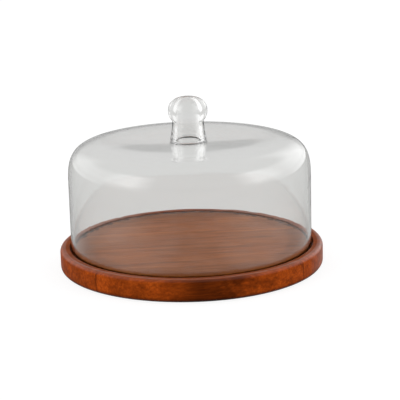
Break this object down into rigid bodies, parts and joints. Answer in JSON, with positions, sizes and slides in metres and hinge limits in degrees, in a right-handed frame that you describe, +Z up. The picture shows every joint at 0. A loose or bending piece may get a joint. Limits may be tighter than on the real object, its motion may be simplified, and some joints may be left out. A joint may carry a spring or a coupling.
{
  "type": "cake stand with glass dome",
  "caption": "Round wooden cake board with a routed groove that seats a clear glass bell, which lifts off by the hollow glass knob on its crown.",
  "frame": {"origin": "centre of the board's flat underside, where it rests on a table", "axes": "+Z up, the axis that the board, the bell and the knob are turned about; +X along the board's grain, with the front towards -Y"},
  "size_m": [0.3, 0.3, 0.193],
  "materials": {
    "board_wood": "reddish brown stain under a satin varnish",
    "clear_glass": "clear, polished, mouth blown"
  },
  "bodies": {
    "board": {"base_stave_front": "board_wood", "base_stave_mid_front": "board_wood", "base_stave_middle": "board_wood", "base_stave_mid_back": "board_wood", "base_stave_back": "board_wood"},
    "dome": {"dome_bell": "clear_glass", "dome_knob": "clear_glass"}
  },
  "joints": [
    {"name": "dome_lift", "type": "slide", "parent": "board", "child": "dome", "axis": [0, 0, 1], "range_m": [0, 0.2]}
  ]
}
